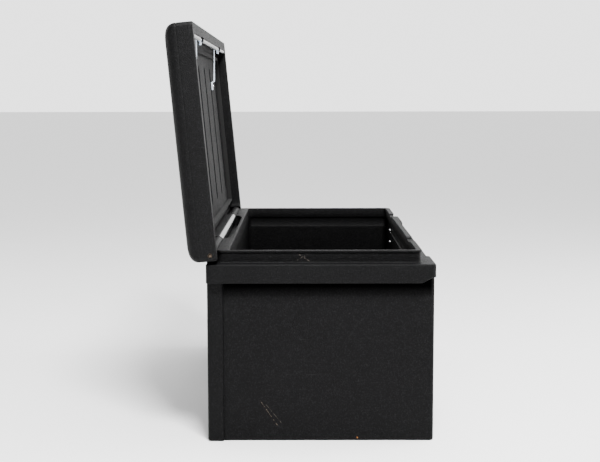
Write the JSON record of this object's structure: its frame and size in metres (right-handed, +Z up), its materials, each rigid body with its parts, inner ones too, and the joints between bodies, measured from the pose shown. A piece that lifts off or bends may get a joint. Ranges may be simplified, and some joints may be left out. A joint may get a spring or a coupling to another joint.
{
  "type": "truck tool box",
  "caption": "Long moulded truck tool box with a leaning open lid on a rod hinge, end handles and paddle latches that hook the lid's strikers.",
  "frame": {"origin": "middle of the flat underside", "axes": "+X along the length, -Y out of the front, +Z up"},
  "size_m": [1.118, 0.6003, 0.9381],
  "materials": {
    "tub_poly": "fine pebbled matt moulding",
    "lid_poly": "fine pebbled matt moulding",
    "liner_poly": "smoother inner moulding",
    "seal_foam": "closed-cell foam",
    "rod_steel": "drawn bar",
    "cap_steel": "dull plated cap",
    "black_steel": "black powder coat",
    "zinc_steel": "zinc plate",
    "spring_steel": "drawn wire",
    "bright_bolt": "bright plated",
    "lock_chrome": "bright plated",
    "lock_brass": "satin",
    "striker_zinc": "blue-white zinc plate"
  },
  "bodies": {
    "chest": {"tub": "tub_poly", "hinge_rod": "rod_steel", "rod_caps": "cap_steel", "left_latch_dish": "black_steel", "left_dish_screws": "zinc_steel", "left_paddle_pin": "zinc_steel", "left_paddle_spring": "spring_steel", "left_latch_frame": "zinc_steel", "left_hook_pin": "zinc_steel", "left_pawl_pin": "zinc_steel", "left_latch_bolts": "bright_bolt", "right_latch_dish": "black_steel", "right_dish_screws": "zinc_steel", "right_paddle_pin": "zinc_steel", "right_paddle_spring": "spring_steel", "right_latch_frame": "zinc_steel", "right_hook_pin": "zinc_steel", "right_pawl_pin": "zinc_steel", "right_latch_bolts": "bright_bolt"},
    "lid": {"lid_shell": "lid_poly", "lid_liner": "liner_poly", "lid_seal": "seal_foam", "left_striker": "striker_zinc", "left_striker_screws": "bright_bolt", "right_striker": "striker_zinc", "right_striker_screws": "bright_bolt"},
    "left_handle": {"left_paddle": "black_steel", "left_lock_barrel": "lock_chrome"},
    "left_lock": {"left_lock_plug": "lock_brass", "left_lock_cam": "zinc_steel"},
    "left_hook_lever": {"left_hook": "zinc_steel"},
    "left_pawl_lever": {"left_pawl": "zinc_steel"},
    "right_handle": {"right_paddle": "black_steel", "right_lock_barrel": "lock_chrome"},
    "right_lock": {"right_lock_plug": "lock_brass", "right_lock_cam": "zinc_steel"},
    "right_hook_lever": {"right_hook": "zinc_steel"},
    "right_pawl_lever": {"right_pawl": "zinc_steel"}
  },
  "joints": [
    {"name": "lid_hinge", "type": "hinge", "parent": "chest", "child": "lid", "pos_m": [0, 0.2445, 0.4255], "axis": [1, 0, 0], "range_deg": [0, 95.4]},
    {"name": "left_paddle_tilt", "type": "hinge", "parent": "chest", "child": "left_handle", "pos_m": [-0.3, -0.244, 0.357], "axis": [-1, 0, 0], "range_deg": [0, 32], "stiffness_Nm_per_rad": 0.3, "springref_deg": -17.19},
    {"name": "left_pawl_tilt", "type": "hinge", "parent": "chest", "child": "left_pawl_lever", "pos_m": [-0.318, -0.235, 0.3715], "axis": [0, -1, 0], "range_deg": [0, 12]},
    {"name": "left_hook_swing", "type": "hinge", "parent": "chest", "child": "left_hook_lever", "pos_m": [-0.3, -0.235, 0.388], "axis": [0, -1, 0], "range_deg": [0, 55], "stiffness_Nm_per_rad": 0.1, "springref_deg": -17.19},
    {"name": "left_lock_turn", "type": "hinge", "parent": "left_handle", "child": "left_lock", "pos_m": [-0.3, -0.245, 0.326], "axis": [0, 1, 0], "range_deg": [0, 90]},
    {"name": "right_paddle_tilt", "type": "hinge", "parent": "chest", "child": "right_handle", "pos_m": [0.3, -0.244, 0.357], "axis": [-1, 0, 0], "range_deg": [0, 32], "stiffness_Nm_per_rad": 0.3, "springref_deg": -17.19},
    {"name": "right_pawl_tilt", "type": "hinge", "parent": "chest", "child": "right_pawl_lever", "pos_m": [0.282, -0.235, 0.3715], "axis": [0, -1, 0], "range_deg": [0, 12]},
    {"name": "right_hook_swing", "type": "hinge", "parent": "chest", "child": "right_hook_lever", "pos_m": [0.3, -0.235, 0.388], "axis": [0, -1, 0], "range_deg": [0, 55], "stiffness_Nm_per_rad": 0.1, "springref_deg": -17.19},
    {"name": "right_lock_turn", "type": "hinge", "parent": "right_handle", "child": "right_lock", "pos_m": [0.3, -0.245, 0.326], "axis": [0, 1, 0], "range_deg": [0, 90]}
  ],
  "couplings": [
    {"joint": "left_pawl_tilt", "follows": "left_paddle_tilt", "ratio": 0.375},
    {"joint": "right_pawl_tilt", "follows": "right_paddle_tilt", "ratio": 0.375}
  ]
}
